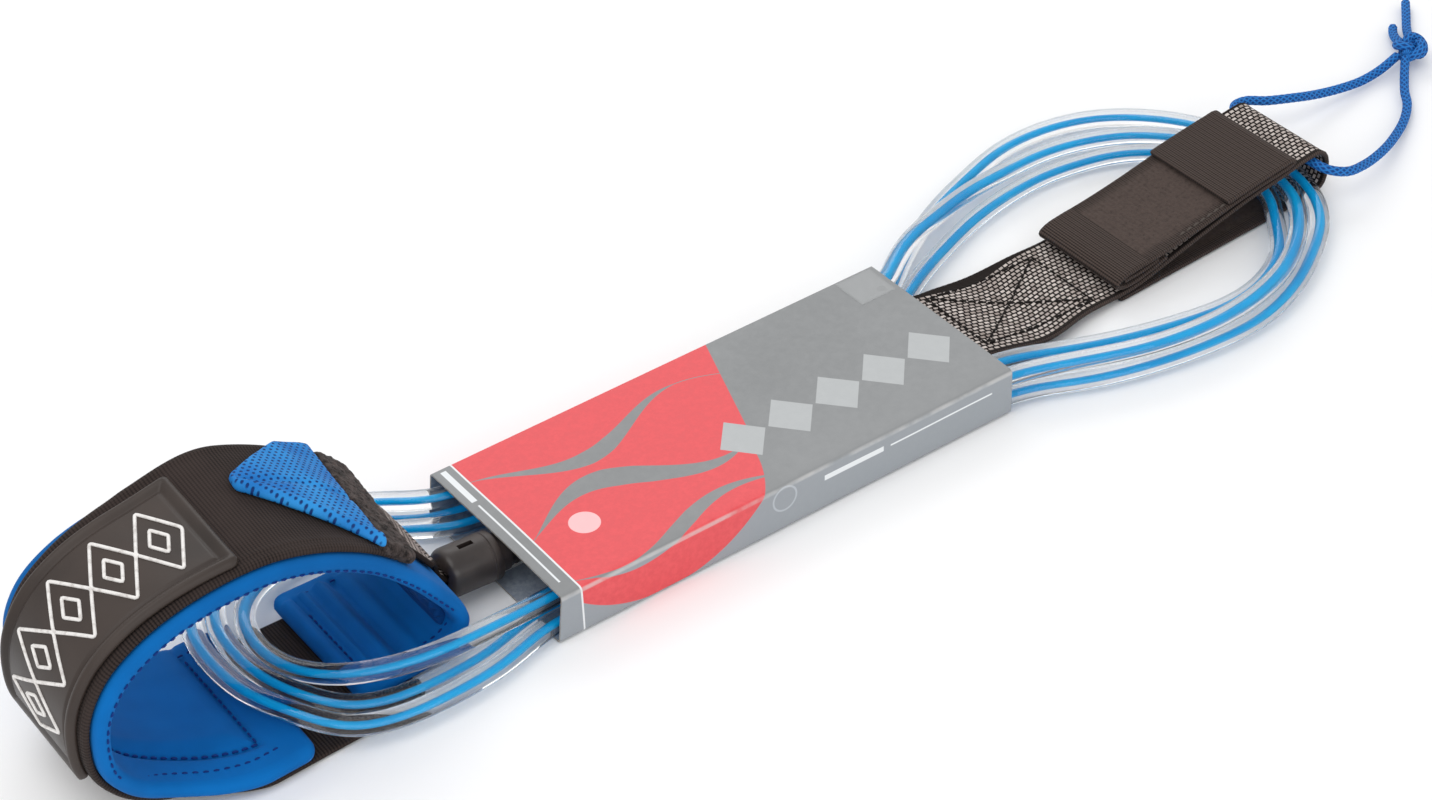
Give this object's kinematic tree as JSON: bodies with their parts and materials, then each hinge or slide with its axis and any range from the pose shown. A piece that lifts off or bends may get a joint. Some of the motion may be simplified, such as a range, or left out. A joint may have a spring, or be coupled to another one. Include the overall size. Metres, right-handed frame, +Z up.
{
  "type": "surfboard leash in card sleeve",
  "caption": "Surfboard leash on its card sleeve: padded ankle cuff, urethane cord, swivels, folded rail saver and tie string.",
  "frame": {"origin": "centre of the card sleeve's underside, on the surface the object lies on", "axes": "+X along the sleeve towards the rail saver, +Z up"},
  "size_m": [0.5446, 0.1244, 0.0684],
  "materials": {
    "card": "matte",
    "tape": "gloss",
    "knit": "matte",
    "lining": "matte",
    "webbing": "matte",
    "rubber": "satin",
    "plastic": "satin",
    "steel": "brushed",
    "urethane": "gloss",
    "string": "matte"
  },
  "bodies": {
    "root": {"card_sleeve": "card", "seal_sticker": "tape", "cuff_pad": "knit", "key_pocket": "lining", "cuff_strap": "knit", "badge_patch": "rubber", "cuff_webbing": "webbing", "cuff_barrel": "plastic", "cuff_cross_pin": "steel", "cuff_washer": "steel", "rail_barrel": "plastic", "rail_cross_pin": "steel", "rail_washer": "steel", "rail_webbing": "webbing", "rail_hook_layer": "webbing", "rail_end_loop": "webbing", "rail_strap_fold": "webbing", "leash_cord": "urethane"},
    "cuff_swivel": {"cuff_swivel_pin": "steel", "cuff_horn": "plastic"},
    "rail_swivel": {"rail_swivel_pin": "steel", "rail_horn": "plastic"},
    "strap_end": {"strap_end": "knit", "hook_patch": "webbing", "strap_hem": "knit"},
    "pull_tab": {"pull_tab": "lining"},
    "rail_strap": {"rail_strap": "webbing"},
    "rail_flap": {"rail_flap": "webbing"},
    "string": {"leash_string": "string", "string_knot": "string", "string_tail_long": "string", "string_tail_short": "string"}
  },
  "joints": [
    {"name": "cuff_swivel_spin", "type": "hinge", "parent": "root", "child": "cuff_swivel", "pos_m": [-0.0966, 0.0008, 0.0096], "axis": [0.9971, 0, -0.0755], "continuous": true},
    {"name": "rail_swivel_spin", "type": "hinge", "parent": "root", "child": "rail_swivel", "pos_m": [0.052, 0.0025, 0.00785], "axis": [1, 0, 0], "continuous": true},
    {"name": "strap_peel", "type": "hinge", "parent": "root", "child": "strap_end", "pos_m": [-0.1493, 0, 0.0658], "axis": [0, -0.994, -0.109], "range_deg": [0, 70]},
    {"name": "tab_lift", "type": "hinge", "parent": "strap_end", "child": "pull_tab", "pos_m": [-0.1188, 0.002, 0.0488], "axis": [0, 0.9926, 0.1217], "range_deg": [0, 90]},
    {"name": "rail_strap_peel", "type": "hinge", "parent": "root", "child": "rail_strap", "pos_m": [0.1567, 0.005, 0.0107], "axis": [0, -1, 0], "range_deg": [0, 90]},
    {"name": "rail_flap_open", "type": "hinge", "parent": "rail_strap", "child": "rail_flap", "pos_m": [0.2121, 0.008, 0.0176], "axis": [0, 1, 0], "range_deg": [0, 100]},
    {"name": "string_swing", "type": "hinge", "parent": "root", "child": "string", "pos_m": [0.224, 0.01, 0.013], "axis": [0, -1, 0], "range_deg": [0, 75]}
  ]
}
